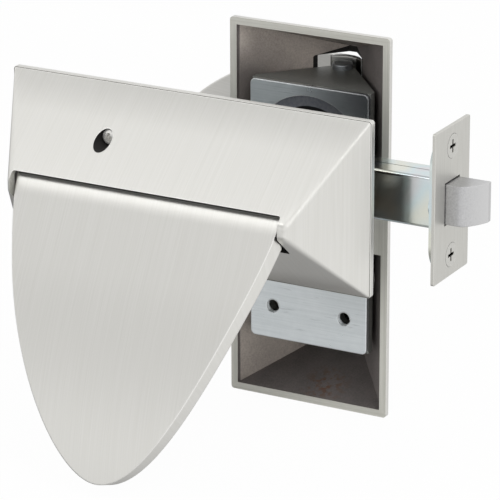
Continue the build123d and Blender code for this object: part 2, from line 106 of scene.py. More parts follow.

# Marks on the rear trim: rust in its casting, a painted shadow of the plate and bracket on the casting
# beside them, and a painted dark reflection in a corner of its mounting plate
RUST_STAIN = {"middle": Vector((4, 29.5, -94)) * MM, "full_mm": 2, "gone_mm": 11, "strength": 1.0}
PAINTED_PLATE_SHADOW = {"middle": Vector((-28, 27, 22)) * MM, "full_mm": 6, "gone_mm": 21, "strength": 0.85}
PAINTED_DARK_REFLECTION = {"middle": Vector((26, 22, 27)) * MM, "full_mm": 4, "gone_mm": 34, "strength": 0.75}

# Brush lines are about 0.15 mm apart on the real casting, its grit is about 0.25 mm wide, and the lines
# of rolled and drawn sheet are finer still. All are drawn wider here so that they show.
LINE_MM = 0.45
LINE_LENGTH_MM = 45
FACEPLATE_LINE_LENGTH_MM = 12
GRIT_MM = 0.7
ROLLED_LINE_MM = (30, 30, 0.7)
DRAWN_LINE_MM = (20, 0.7, 0.7)

# Wider patterns: clouds in the casting and in the plating, rust, scratches, and the tints of the passivate
CASTING_CLOUD_MM = 14
PLATING_CLOUD_MM = 9
RUST_SPECK_MM = 2
SCRATCH_MM = (9, 9, 0.9)
TINT_MM = (15, 12, 20)

# Belt's passes: how wide one is in brush lines, and how much it shows in the tone and in the gloss
PASS_WIDTH = 6
PASS_TONE = 0.2
PASS_GLOSS = 0.01
BRUSHED_TONES = {"From Min": 0.35, "From Max": 0.85}

# Change of roughness over the grain of a metal that isn't brushed
GRAIN_GLOSS = 0.08

# Tapped fixing holes in the mounting plates
FIXING_END_MARGIN = 13.0 * MM
FIXING_SIDE_MARGIN = 9.6 * MM
FIXING_RADIUS = 2.6 * MM
THREAD_PITCH = 0.8 * MM
THREAD_RIDGE = 0.3 * MM
THREAD_STEPS = 28
THREAD_SIDES = 4

# Wire of the latch spring
SPRING_WIRE = 0.9 * MM
SPRING_TURNS = 8.0
SPRING_STEPS = 36
SPRING_SIDES = 10

# Softboxes: place and width in metres, power in watts, and whether metal mirrors them
LAMPS = {
    "key": {"place": (1.3, -0.8, 1.7), "width": 0.8, "power": 7, "mirrored": False},
    "edge": {"place": (1.3, -0.8, 1.7), "width": 1.0, "power": 6, "mirrored": True},
    "fill": {"place": (-1.13, -1.13, 1.93), "width": 0.7, "power": 2.6, "mirrored": True},
    "low_front": {"place": (0.3, -1.9, 0.6), "width": 0.8, "power": 11, "mirrored": False},
}

# Studio: the ways to its front wall, its ceiling behind and its upright, and its light on dull faces
FRONT_WALL_WAY = (-0.45, -0.75, 0.48)
CEILING_WAY = (-0.45, 0.35, 0.82)
UPRIGHT_WAY = (0, -0.29, 0.98)
RIGHT_SIDE_GAIN = 0.5
DULL_FACE_LIGHT = 0.7

# Floor: how far it reaches each way in metres, and how much of it is pure white to the camera
FLOOR_REACH = 4.0
FLOOR_WHITE_SHARE = 0.97

# Mix node's sockets by number, because its sockets for numbers and colours have the same names
SHARE, COLOUR_A, COLOUR_B, MIXED = 0, 6, 7, 2
NUMBER_A, NUMBER_B = 2, 3


def linear(colour):
    """An sRGB hex colour as linear red, green, blue and alpha."""
    channels = [int(colour[i:i + 2], 16) / 255 for i in (0, 2, 4)]
    turned = [c / 12.92 if c <= 0.04045 else ((c + 0.055) / 1.055) ** 2.4 for c in channels]
    return (*turned, 1.0)


def add_node(tree, kind, inputs=None, **settings):
    """Add a node, set its properties, and give each named input a value or a link."""
    made = tree.nodes.new(kind)
    for name, value in settings.items():
        setattr(made, name, value)
    for name, value in (inputs or {}).items():
        if isinstance(value, bpy.types.NodeSocket):
            tree.links.new(value, made.inputs[name])
        else:
            made.inputs[name].default_value = value
    return made


def start_material(name, metallic):
    """A new material, its node tree, its shader and its object coordinates."""
    material = bpy.data.materials.new(name)
    material.use_nodes = True
    tree = material.node_tree
    shader = tree.nodes["Principled BSDF"]
    shader.inputs["Metallic"].default_value = metallic
    place = add_node(tree, "ShaderNodeTexCoord").outputs["Object"]
    return material, tree, shader, place


def per_metre(x_mm, y_mm, z_mm):
    """Mapping scale that makes one step of a pattern this long along each axis."""
    return (1 / (x_mm * MM), 1 / (y_mm * MM), 1 / (z_mm * MM))


# Wear and stains
def rolled_edge(tree, place, normal, axis, both_ways, start_mm, reach_mm, drop_mm):
    """Normal of a face that the belt has rounded off towards an edge, from a gentle drop over its
    reach."""
    dot = add_node(tree, "ShaderNodeVectorMath", {0: place, 1: axis}, operation="DOT_PRODUCT")
    along = dot.outputs["Value"]
    if both_ways:
        along = add_node(tree, "ShaderNodeMath", {0: along}, operation="ABSOLUTE").outputs[0]
    share = add_node(tree, "ShaderNodeMapRange", {
        "Value": along, "From Min": start_mm * MM, "From Max": (start_mm + reach_mm) * MM}).outputs[0]
    square = add_node(tree, "ShaderNodeMath", {0: share, 1: share}, operation="MULTIPLY")
    drop = add_node(tree, "ShaderNodeMath", {
        0: square.outputs[0], 1: -drop_mm * MM}, operation="MULTIPLY")
    return add_node(tree, "ShaderNodeBump", {
        "Height": drop.outputs[0], "Strength": 1.0, "Distance": 1.0, "Normal": normal})


def tone_change(tree, place, colour, axis, start_mm, end_mm, beyond):
    """A colour that turns into another along one axis: painted shade or a painted highlight."""
    along = add_node(tree, "ShaderNodeVectorMath", {0: place, 1: axis}, operation="DOT_PRODUCT")
    passed = add_node(tree, "ShaderNodeMapRange", {
        "Value": along.outputs["Value"], "From Min": start_mm * MM, "From Max": end_mm * MM})
    return add_node(tree, "ShaderNodeMix", {
        SHARE: passed.outputs[0], COLOUR_A: colour.outputs[MIXED], COLOUR_B: linear(beyond)},
        data_type="RGBA")


def painted_edge_highlight(tree, colour, round_mm):
    """A colour painted bright as a highlight where an edge has been broken, and the normal that rounds the
    edge off.
    """
    broken = add_node(tree, "ShaderNodeBevel", {"Radius": round_mm * MM}, samples=6).outputs[0]
    flat = add_node(tree, "ShaderNodeNewGeometry").outputs["Normal"]
    match = add_node(tree, "ShaderNodeVectorMath", {0: broken, 1: flat}, operation="DOT_PRODUCT")
    edge = add_node(tree, "ShaderNodeMapRange", {
        "Value": match.outputs["Value"], "From Min": 0.99, "From Max": 0.88})
    highlighted = add_node(tree, "ShaderNodeMix", {
        SHARE: edge.outputs[0], COLOUR_A: colour.outputs[MIXED], COLOUR_B: linear("FBFAF7")},
        data_type="RGBA")
    return highlighted, broken


def stain_and_shade_share(tree, place, middle, full_mm, gone_mm, strength):
    """Share of a round mark, a real stain as well as painted shade: at its full strength near its middle,
    and gone some way from it.
    """
    away = add_node(tree, "ShaderNodeVectorMath", {0: place, 1: middle}, operation="DISTANCE")
    share = add_node(tree, "ShaderNodeMapRange", {
        "Value": away.outputs["Value"], "From Min": full_mm * MM, "From Max": gone_mm * MM,
        "To Min": strength, "To Max": 0.0})
    return share.outputs[0]


# Materials
def brushed_metal(name, dark, bright, line_mm, roughness, metallic=1.0, rolled=None, round_mm=0.5,
                  change=None):
    """Metal dressed with an abrasive belt. Its fine lines soften every reflection, and the belt's passes
    leave wide bands that are hardly lighter or duller. Where the belt has rolled over an edge, the face
    rounds off towards it, and the edge is painted bright as a highlight."""
    material, tree, shader, place = start_material(name, metallic)
    fine = add_node(tree, "ShaderNodeMapping", {"Vector": place, "Scale": per_metre(*line_mm)})
    lines = add_node(tree, "ShaderNodeTexNoise", {
        "Vector": fine.outputs[0], "Scale": 1.0, "Detail": 3.0, "Roughness": 0.6})
    pass_mm = [PASS_WIDTH * step if step == min(line_mm) else step for step in line_mm]
    wide = add_node(tree, "ShaderNodeMapping", {"Vector": place, "Scale": per_metre(*pass_mm)})
    passes = add_node(tree, "ShaderNodeTexNoise", {"Vector": wide.outputs[0], "Scale": 1.0, "Detail": 2.0})
    tone = add_node(tree, "ShaderNodeMath", {
        0: passes.outputs["Fac"], 1: PASS_TONE, 2: lines.outputs["Fac"]}, operation="MULTIPLY_ADD")
    share = add_node(tree, "ShaderNodeMapRange", {"Value": tone.outputs[0], **BRUSHED_TONES})
    colour = add_node(tree, "ShaderNodeMix", {
        SHARE: share.outputs[0], COLOUR_A: linear(dark), COLOUR_B: linear(bright)}, data_type="RGBA")
    if change:
        colour = tone_change(tree, place, colour, **change)
    gloss = add_node(tree, "ShaderNodeMapRange", {
        "Value": tone.outputs[0], **BRUSHED_TONES,
        "To Min": roughness + PASS_GLOSS, "To Max": roughness - PASS_GLOSS})
    relief = add_node(tree, "ShaderNodeBump", {
        "Height": lines.outputs["Fac"], "Strength": 0.02, "Distance": 0.05 * MM})
    if rolled:
        # Painted highlight on the edges, and the bump that rounds the face off towards them
        colour, broken = painted_edge_highlight(tree, colour, round_mm)
        tree.links.new(rolled_edge(tree, place, broken, **rolled).outputs[0], relief.inputs["Normal"])
    tree.links.new(colour.outputs[MIXED], shader.inputs["Base Color"])
    tree.links.new(gloss.outputs[0], shader.inputs["Roughness"])
    tree.links.new(relief.outputs[0], shader.inputs["Normal"])
    return material


def cast_inside(name, dark, bright):
    """Unfinished sand casting, shot blasted: dull warm grey with a fine grit, clouded by the sand, with a
    painted shadow beside the plate, and with a few faint rust specks in the lowest corner."""
    material, tree, shader, place = start_material(name, metallic=0.15)
    fine = add_node(tree, "ShaderNodeMapping", {
        "Vector": place, "Scale": per_metre(GRIT_MM, GRIT_MM, GRIT_MM)})
    grit = add_node(tree, "ShaderNodeTexNoise", {
        "Vector": fine.outputs[0], "Scale": 1.0, "Detail": 3.0, "Roughness": 0.7})
    broad = add_node(tree, "ShaderNodeMapping", {
        "Vector": place, "Scale": per_metre(CASTING_CLOUD_MM, CASTING_CLOUD_MM, CASTING_CLOUD_MM)})
    cloud = add_node(tree, "ShaderNodeTexNoise", {"Vector": broad.outputs[0], "Scale": 1.0, "Detail": 4.0})
    tone = add_node(tree, "ShaderNodeMath", {
        0: grit.outputs["Fac"], 1: cloud.outputs["Fac"]}, operation="ADD")
    share = add_node(tree, "ShaderNodeMapRange", {
        "Value": tone.outputs[0], "From Min": 0.65, "From Max": 1.35})
    metal = add_node(tree, "ShaderNodeMix", {
        SHARE: share.outputs[0], COLOUR_A: linear(dark), COLOUR_B: linear(bright)}, data_type="RGBA")
    speck = add_node(tree, "ShaderNodeMapping", {
        "Vector": place, "Scale": per_metre(RUST_SPECK_MM, RUST_SPECK_MM, RUST_SPECK_MM)})
    spots = add_node(tree, "ShaderNodeTexNoise", {"Vector": speck.outputs[0], "Scale": 1.0, "Detail": 2.0})
    spot = add_node(tree, "ShaderNodeMapRange", {
        "Value": spots.outputs["Fac"], "From Min": 0.47, "From Max": 0.62, "To Max": 0.7})
    rusty = add_node(tree, "ShaderNodeMath", {
        0: spot.outputs[0], 1: stain_and_shade_share(tree, place, **RUST_STAIN)}, operation="MULTIPLY")
    rusted = add_node(tree, "ShaderNodeMix", {
        SHARE: rusty.outputs[0], COLOUR_A: metal.outputs[MIXED], COLOUR_B: linear("75492B")},
        data_type="RGBA")
    # Painted shadow of the plate and bracket on the wall beside them
    colour = add_node(tree, "ShaderNodeMix", {
        SHARE: stain_and_shade_share(tree, place, **PAINTED_PLATE_SHADOW), COLOUR_A: rusted.outputs[MIXED],
        COLOUR_B: linear("4F4A48")}, data_type="RGBA")
    relief = add_node(tree, "ShaderNodeBump", {
        "Height": grit.outputs["Fac"], "Strength": 0.35, "Distance": 0.12 * MM})
    tree.links.new(colour.outputs[MIXED], shader.inputs["Base Color"])
    tree.links.new(relief.outputs[0], shader.inputs["Normal"])
    shader.inputs["Roughness"].default_value = 0.62
    return material


def zinc_sheet():
    """Zinc plated rolled steel: cool grey and half shiny, clouded by the plating, with the faint lines of
    the rolls, a few dark handling scratches, painted highlights on its edges and a painted dark reflection
    in one corner."""
    material, tree, shader, place = start_material("zinc_plated_steel_sheet", metallic=0.88)
    broad = add_node(tree, "ShaderNodeMapping", {
        "Vector": place, "Scale": per_metre(PLATING_CLOUD_MM, PLATING_CLOUD_MM, PLATING_CLOUD_MM)})
    cloud = add_node(tree, "ShaderNodeTexNoise", {
        "Vector": broad.outputs[0], "Scale": 1.0, "Detail": 5.0, "Roughness": 0.6})
    rolled = add_node(tree, "ShaderNodeMapping", {
        "Vector": place, "Scale": per_metre(*ROLLED_LINE_MM), "Rotation": (0, radians(4), 0)})
    lines = add_node(tree, "ShaderNodeTexNoise", {
        "Vector": rolled.outputs[0], "Scale": 1.0, "Detail": 3.0, "Roughness": 0.7})
    handled = add_node(tree, "ShaderNodeMapping", {
        "Vector": place, "Scale": per_metre(*SCRATCH_MM), "Rotation": (0, radians(14), 0)})
    marks = add_node(tree, "ShaderNodeTexNoise", {
        "Vector": handled.outputs[0], "Scale": 1.0, "Detail": 2.0, "Roughness": 0.6})
    scratch = add_node(tree, "ShaderNodeMapRange", {
        "Value": marks.outputs["Fac"], "From Min": 0.64, "From Max": 0.74, "To Max": 0.4})
    tone = add_node(tree, "ShaderNodeMath", {
        0: cloud.outputs["Fac"], 1: lines.outputs["Fac"]}, operation="ADD")
    share = add_node(tree, "ShaderNodeMapRange", {
        "Value": tone.outputs[0], "From Min": 0.7, "From Max": 1.3})
    plating = add_node(tree, "ShaderNodeMix", {
        SHARE: share.outputs[0], COLOUR_A: linear("C6CCCE"), COLOUR_B: linear("DADFE1")},
        data_type="RGBA")
    marked = add_node(tree, "ShaderNodeMix", {
        SHARE: scratch.outputs[0], COLOUR_A: plating.outputs[MIXED], COLOUR_B: linear("979C9F")},
        data_type="RGBA")
    # Painted dark reflection in one corner of the plate
    darkened = add_node(tree, "ShaderNodeMix", {
        SHARE: stain_and_shade_share(tree, place, **PAINTED_DARK_REFLECTION), COLOUR_A: marked.outputs[MIXED],
        COLOUR_B: linear("4A4B52")}, data_type="RGBA")
    # Painted highlight on the edges
    colour, broken = painted_edge_highlight(tree, darkened, round_mm=0.6)
    gloss = add_node(tree, "ShaderNodeMapRange", {
        "Value": cloud.outputs["Fac"], "From Min": 0.3, "From Max": 0.7, "To Min": 0.26, "To Max": 0.36})
    tree.links.new(colour.outputs[MIXED], shader.inputs["Base Color"])
    tree.links.new(gloss.outputs[0], shader.inputs["Roughness"])
    tree.links.new(broken, shader.inputs["Normal"])
    return material


def passivated_case():
    """Bright zinc with a clear passivate, folded from sheet: nearly a mirror, with the passivate's
    faint pink, blue and yellow tints and the sheet's fine drawn lines."""
    material, tree, shader, place = start_material("bright_zinc_clear_passivate", metallic=1.0)
    broad = add_node(tree, "ShaderNodeMapping", {"Vector": place, "Scale": per_metre(*TINT_MM)})
    film = add_node(tree, "ShaderNodeTexNoise", {"Vector": broad.outputs[0], "Scale": 1.0, "Detail": 1.0})
    low = add_node(tree, "ShaderNodeMapRange", {
        "Value": film.outputs["Fac"], "From Min": 0.32, "From Max": 0.5})
    high = add_node(tree, "ShaderNodeMapRange", {
        "Value": film.outputs["Fac"], "From Min": 0.5, "From Max": 0.68})
    cool = add_node(tree, "ShaderNodeMix", {
        SHARE: low.outputs[0], COLOUR_A: linear("D9D2D5"), COLOUR_B: linear("CCDADD")}, data_type="RGBA")
    colour = add_node(tree, "ShaderNodeMix", {
        SHARE: high.outputs[0], COLOUR_A: cool.outputs[MIXED], COLOUR_B: linear("DBDCD1")},
        data_type="RGBA")
    drawn = add_node(tree, "ShaderNodeMapping", {"Vector": place, "Scale": per_metre(*DRAWN_LINE_MM)})
    lines = add_node(tree, "ShaderNodeTexNoise", {"Vector": drawn.outputs[0], "Scale": 1.0, "Detail": 2.0})
    gloss = add_node(tree, "ShaderNodeMapRange", {
        "Value": lines.outputs["Fac"], "To Min": 0.12, "To Max": 0.22})
    tree.links.new(colour.outputs[MIXED], shader.inputs["Base Color"])
    tree.links.new(gloss.outputs[0], shader.inputs["Roughness"])
    return material


def grained_metal(name, dark, bright, grain_mm, depth_mm, roughness, metallic, change=None):
    """Metal with an even grain and no direction, from blasting, sintering, plating or an oxide bath. The
    real grain is about a tenth of a millimetre wide, and is drawn wider so that it shows. Its tone may
    change along one axis, as painted shade or a painted highlight."""
    material, tree, shader, place = start_material(name, metallic)
    scaled = add_node(tree, "ShaderNodeMapping", {
        "Vector": place, "Scale": per_metre(grain_mm, grain_mm, grain_mm)})
    grain = add_node(tree, "ShaderNodeTexNoise", {
        "Vector": scaled.outputs[0], "Scale": 1.0, "Detail": 4.0, "Roughness": 0.7})
    share = add_node(tree, "ShaderNodeMapRange", {
        "Value": grain.outputs["Fac"], "From Min": 0.3, "From Max": 0.7})
    colour = add_node(tree, "ShaderNodeMix", {
        SHARE: share.outputs[0], COLOUR_A: linear(dark), COLOUR_B: linear(bright)}, data_type="RGBA")
    if change:
        colour = tone_change(tree, place, colour, **change)
    gloss = add_node(tree, "ShaderNodeMapRange", {
        "Value": grain.outputs["Fac"],
        "To Min": roughness - GRAIN_GLOSS, "To Max": roughness + GRAIN_GLOSS})
    relief = add_node(tree, "ShaderNodeBump", {
        "Height": grain.outputs["Fac"], "Strength": 0.2, "Distance": depth_mm * MM})
    tree.links.new(colour.outputs[MIXED], shader.inputs["Base Color"])
    tree.links.new(gloss.outputs[0], shader.inputs["Roughness"])
    tree.links.new(relief.outputs[0], shader.inputs["Normal"])
    return material


# Satin nickel on the castings: warm pale grey, brushed across the trim, with painted highlights on the
# edges. The top of the paddle's barrel, inside the window, is painted dark as the shade in the window's
# gap.
line_steps = {
    "front": (LINE_MM, LINE_LENGTH_MM, LINE_LENGTH_MM),
    "rear": (LINE_LENGTH_MM, LINE_LENGTH_MM, LINE_MM),
}
trim_nickel, paddle_nickel = {}, {}
for side, steps in line_steps.items():
    up = TRIM_SIDES[side]["up"]
    trim_nickel[side] = brushed_metal(
        f"satin_nickel_trim_{side}", "DBDAD5", "E2E1DD", line_mm=steps, roughness=0.34,
        rolled={"axis": up, "both_ways": True, "start_mm": 22.5, "reach_mm": 11, "drop_mm": 0.9})
    paddle_nickel[side] = brushed_metal(
        f"satin_nickel_paddle_{side}", "DBDAD5", "E2E1DD", line_mm=steps, roughness=0.34,
        rolled={"axis": up, "both_ways": False, "start_mm": -2.5, "reach_mm": 6, "drop_mm": 0.75},
        round_mm=0.8,
        # Painted shade on the top of the barrel, in the gap under the window's edge
        change={"axis": up, "start_mm": 3.2, "end_mm": 4.0, "beyond": "5A5955"})

# Rim of the casting, ground flat for the door: dull pale grey, with lines along the rear trim's sides
rim_along = brushed_metal(
    "ground_casting_rim_long", "B6B5AD", "CCCBC4",
    line_mm=(LINE_MM, LINE_MM, LINE_LENGTH_MM), roughness=0.4, metallic=0.25)
rim_across = brushed_metal(
    "ground_casting_rim_short", "B6B5AD", "CCCBC4",
    line_mm=(LINE_LENGTH_MM, LINE_MM, LINE_MM), roughness=0.4, metallic=0.25)

# Faceplate: satin nickel a little darker than the trims, brushed along its length in short lines
plate_nickel = brushed_metal(
    "satin_nickel_faceplate", "CDCCC6", "D8D7D2",
    line_mm=(LINE_MM, LINE_MM, FACEPLATE_LINE_LENGTH_MM), roughness=0.38)

# Spindle: cold drawn bar, mid grey with lines along it
steel_bar = brushed_metal(
    "cold_drawn_steel_bar", "8E8F90", "B0B1B2",
    line_mm=(LINE_MM, LINE_LENGTH_MM, LINE_MM), roughness=0.35)

# Raw hollow of the casting, and a darker copy of it: painted shade on the faces that turn away from the
# light
casting = cast_inside("raw_casting_shot_blasted", "948B85", "C6BCB3")
shaded_casting = cast_inside("raw_casting_painted_shade", "645F5E", "857E7B")

# Sheet of the mounting plates and small latch pieces, and the shinier sheet of the latch case
zinc = zinc_sheet()
case_zinc = passivated_case()

# Pivot bracket from an oxide bath: dull charcoal with a faint grain
black_oxide = grained_metal(
    "black_oxide_steel", "6A6B68", "82837F", grain_mm=0.9, depth_mm=0.03, roughness=0.42, metallic=0.4)

# Hub in dark phosphate: slate grey on its flange, and painted black shade in its recess
hub_steel = grained_metal(
    "dark_phosphated_steel", "7E7F86", "98999F", grain_mm=1.2, depth_mm=0.03, roughness=0.4, metallic=0.9)
hub_recess_shade = grained_metal(
    "painted_shade_hub_recess", "161617", "222223",
    grain_mm=1.2, depth_mm=0.03, roughness=0.55, metallic=0.4)

# Cut through the casting for the paddle and the screw: painted black shade, with hardly any shine
painted_shade_cut = grained_metal(
    "raw_casting_cut_painted_shade", "171615", "242220",
    grain_mm=0.9, depth_mm=0.05, roughness=0.8, metallic=0.0)

# Narrow ledge on the lip: a dull grey line round the roof, painted shade in the crease
crease_shade = grained_metal(
    "satin_nickel_painted_crease_shade", "5E5D58", "74736D",
    grain_mm=0.9, depth_mm=0.02, roughness=0.5, metallic=0.8)

# Pivot pin and its clip: polished steel, mid grey with a smooth shine
pin_steel = grained_metal(
    "polished_dark_steel", "84888B", "9EA2A5", grain_mm=1.5, depth_mm=0.01, roughness=0.3, metallic=0.8)

# Escutcheon's screw: bright nickel, the palest metal on the trim
screw_nickel = grained_metal(
    "bright_nickel_screw", "DCDBD7", "F0EFEB", grain_mm=1.0, depth_mm=0.01, roughness=0.25, metallic=0.6)

# Faceplate's screws: satin nickel like the plate, and painted black shade down in the drive
flat_screw_nickel = grained_metal(
    "satin_nickel_flat_screw", "CFCEC9", "DBDAD5",
    grain_mm=1.0, depth_mm=0.01, roughness=0.36, metallic=1.0,
    change={"axis": (-1, 0, 0), "start_mm": -69.7, "end_mm": -69.4, "beyond": "1E1D1C"})

# Pressed and sintered steel, blasted: pale grey with a fine even grain, and on the bolt a painted highlight
# that grows paler towards its bevel
sintered = grained_metal(
    "sintered_steel_blasted", "B2B2B3", "CFCFD0",
    grain_mm=0.6, depth_mm=0.03, roughness=0.42, metallic=0.95)
bolt_bevel_highlight = grained_metal(
    "sintered_bolt_painted_bevel_highlight", "AEAEAF", "CACACB",
    grain_mm=0.6, depth_mm=0.03, roughness=0.4, metallic=0.95,
    # Painted highlight, paler towards the bevel on the right
    change={"axis": (1, 0, 0), "start_mm": 75.0, "end_mm": 83.5, "beyond": "D2D2D2"})

# Drawn spring wire: smooth, shiny mid grey
wire = grained_metal(
    "drawn_spring_wire", "77787A", "96979A", grain_mm=0.8, depth_mm=0.01, roughness=0.3, metallic=1.0)


# Finishes on the CAD nodes
finishes = {
    "front_paddle": paddle_nickel["front"],
    "rear_paddle": paddle_nickel["rear"],
    "faceplate": plate_nickel,
    "faceplate_screws": flat_screw_nickel,
    "latch_backplate": case_zinc,
    "latch_case_front_half": case_zinc,
    "latch_case_rear_half": case_zinc,
    "latch_bolt": bolt_bevel_highlight,
    "retractor_cam": sintered,
    "bolt_tail": zinc,
    "spring_stop": zinc,
    "spindle": steel_bar,
}
for side in TRIM_SIDES:
    finishes[f"{side}_mounting_plate"] = zinc
    finishes[f"{side}_pivot_bracket"] = black_oxide
    finishes[f"{side}_pivot_pin"] = pin_steel
    finishes[f"{side}_pin_clip"] = pin_steel
    finishes[f"{side}_escutcheon_screw"] = screw_nickel
for name, finish in finishes.items():
    nodes[name].data.materials.clear()
    nodes[name].data.materials.append(finish)


# Pieces
def separate_piece(name, mesh, body):
    """Link a mesh as a piece of its own that rides on a body."""
    piece = bpy.data.objects.new(name, mesh)
    bpy.context.scene.collection.objects.link(piece)
    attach(piece, body)
    return piece


def finish_edges(mesh):
    """Merge a CAD mesh's corners, shade its curved faces smooth and keep the folds sharp."""
    shaped = bmesh.new()
    shaped.from_mesh(mesh)
    bmesh.ops.remove_doubles(shaped, verts=shaped.verts, dist=MERGE_DISTANCE)
    for face in shaped.faces:
        face.smooth = True
    for edge in shaped.edges:
        edge.smooth = edge.is_manifold and edge.calc_face_angle(0) < FOLD_ANGLE
    shaped.to_mesh(mesh)
    shaped.free()


def escutcheon_zone(face, trim, screw_middle):
    """Name of the zone that one of the escutcheon's faces is in, from where it lies and how it leans."""
    outward, barrel, up = trim["outward"], trim["barrel"], trim["up"]
    normal = face.normal
    depth = face.center.dot(outward) - door_half
    offset = face.center - screw_middle
    from_screw = offset - outward * offset.dot(outward)
    in_bore = from_screw.length < SCREW_BORE_REACH
    # Walls of the screw's bore get painted black shade
    if in_bore and abs(normal.dot(outward)) < BORE_WALL_LEAN:
        return "cut"
    if depth < RIM_TOLERANCE and normal.dot(outward) < 0:
        along = face.center.dot(barrel) + PADDLE_MIDDLE_FROM_HUB
        return "short_rim" if abs(along) > RIM_END_REACH else "long_rim"
    # Ledge on the lip gets the painted crease shade
    if abs(depth - LIP_HEIGHT) < RIM_TOLERANCE and normal.dot(outward) > LEDGE_LEAN:
        return "ledge"
    hollow_middle = outward * (door_half + HOLLOW_DEPTH) - barrel * PADDLE_MIDDLE_FROM_HUB
    if normal.dot(face.center - hollow_middle) >= 0:
        return "outside"
    in_window = depth > WINDOW_DEPTH and WINDOW_LOW < face.center.dot(up) < WINDOW_HIGH
    if in_window and normal.dot(barrel) > END_WALL_LEAN:
        return "long_rim"
    # Walls of the window and of the bore get painted black shade
    if in_window or in_bore:
        return "cut"
    # Faces at the far end, on the low side and inside the lip get painted shade
    far_end = normal.dot(barrel) > SHADE_LEAN
    low_side = normal.dot(up) < -SHADE_LEAN
    if far_end or low_side or depth < LIP_INSIDE_DEPTH:
        return "shaded_hollow"
    return "hollow"


def escutcheon_skin(side):
    """The escutcheon with a brushed outside, a rim ground along each of its sides, painted black shade in
    the cut for the paddle and the screw, painted shade on the ledge, and a raw hollow with painted shade at
    the far end, on one side and inside the lip. The window's far end wall is ground like the rim."""
    mesh = nodes[f"{side}_escutcheon"].data.copy()
    finish_edges(mesh)
    zone_finishes = {
        "outside": trim_nickel[side],
        "hollow": casting,
        "long_rim": rim_along,
        "short_rim": rim_across,
        "cut": painted_shade_cut,
        "shaded_hollow": shaded_casting,
        "ledge": crease_shade,
    }
    mesh.materials.clear()
    for finish in zone_finishes.values():
        mesh.materials.append(finish)
    zones = list(zone_finishes)
    screw_corners = nodes[f"{side}_escutcheon_screw"].data.vertices
    screw_middle = sum((corner.co for corner in screw_corners), Vector()) / len(screw_corners)
    for face in mesh.polygons:
        face.material_index = zones.index(escutcheon_zone(face, TRIM_SIDES[side], screw_middle))
    piece = separate_piece(f"{side}_escutcheon_finished", mesh, "frame")
    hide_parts(f"{side}_escutcheon")


def hub_skin(side):
    """The hub with a grey flange, and painted black shade in the recess round its socket."""
    outward = TRIM_SIDES[side]["outward"]
    mesh = nodes[f"{side}_hub"].data.copy()
    finish_edges(mesh)
    mesh.materials.clear()
    for finish in (hub_steel, hub_recess_shade):
        mesh.materials.append(finish)
    for face in mesh.polygons:
        from_axis = face.center - outward * face.center.dot(outward)
        # Faces of the recess take the painted black shade
        face.material_index = 1 if from_axis.length < HUB_RECESS_RADIUS else 0
    piece = separate_piece(f"{side}_hub_finished", mesh, "turning_gear")
    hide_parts(f"{side}_hub")


for side in TRIM_SIDES:
    escutcheon_skin(side)
    hub_skin(side)


def wound_wire():
    """Geometry Nodes tree: a wire wound on a helix, set on every point of a mesh along one axis."""
    tree = bpy.data.node_groups.new("wound_wire", "GeometryNodeTree")
    tree.interface.new_socket("Geometry", in_out="INPUT", socket_type="NodeSocketGeometry")
    for name in ("Radius", "Wire", "Length", "Turns"):
        tree.interface.new_socket(name, in_out="INPUT", socket_type="NodeSocketFloat")
    for name in ("Steps", "Sides"):
        tree.interface.new_socket(name, in_out="INPUT", socket_type="NodeSocketInt")
    tree.interface.new_socket("Axis", in_out="INPUT", socket_type="NodeSocketVector")
    tree.interface.new_socket("Finish", in_out="INPUT", socket_type="NodeSocketMaterial")
    tree.interface.new_socket("Geometry", in_out="OUTPUT", socket_type="NodeSocketGeometry")
    given = add_node(tree, "NodeGroupInput").outputs
    helix = add_node(tree, "GeometryNodeCurveSpiral", {
        "Resolution": given["Steps"], "Rotations": given["Turns"], "Height": given["Length"],
        "Start Radius": given["Radius"], "End Radius": given["Radius"]})
    profile = add_node(tree, "GeometryNodeCurvePrimitiveCircle", {
        "Resolution": given["Sides"], "Radius": given["Wire"]})
    wound = add_node(tree, "GeometryNodeCurveToMesh", {
        "Curve": helix.outputs[0], "Profile Curve": profile.outputs[0], "Fill Caps": True})
    turned = add_node(tree, "FunctionNodeAlignRotationToVector", {"Vector": given["Axis"]}, axis="Z")
    placed = add_node(tree, "GeometryNodeInstanceOnPoints", {
        "Points": given["Geometry"], "Instance": wound.outputs[0], "Rotation": turned.outputs[0]})
    solid = add_node(tree, "GeometryNodeRealizeInstances", {"Geometry": placed.outputs[0]})
    coloured = add_node(tree, "GeometryNodeSetMaterial", {
        "Geometry": solid.outputs[0], "Material": given["Finish"]})
    add_node(tree, "NodeGroupOutput", {"Geometry": coloured.outputs[0]})
    return tree


def run_tree(name, places, tree, values):
    """Run a Geometry Nodes tree on loose points and return the result as a plain mesh."""
    points = bpy.data.meshes.new(name)
    points.from_pydata(places, [], [])
    carrier = bpy.data.objects.new(name, points)
    bpy.context.scene.collection.objects.link(carrier)
    modifier = carrier.modifiers.new("form", "NODES")
    modifier.node_group = tree
    for item in tree.interface.items_tree:
        if item.item_type == "SOCKET" and item.in_out == "INPUT" and item.name in values:
            modifier[item.identifier] = values[item.name]
    shown = bpy.context.evaluated_depsgraph_get()
    made = bpy.data.meshes.new_from_object(carrier.evaluated_get(shown))
    carrier.modifiers.remove(modifier)
    bpy.data.objects.remove(carrier)
    for face in made.polygons:
        face.use_smooth = True
    return made


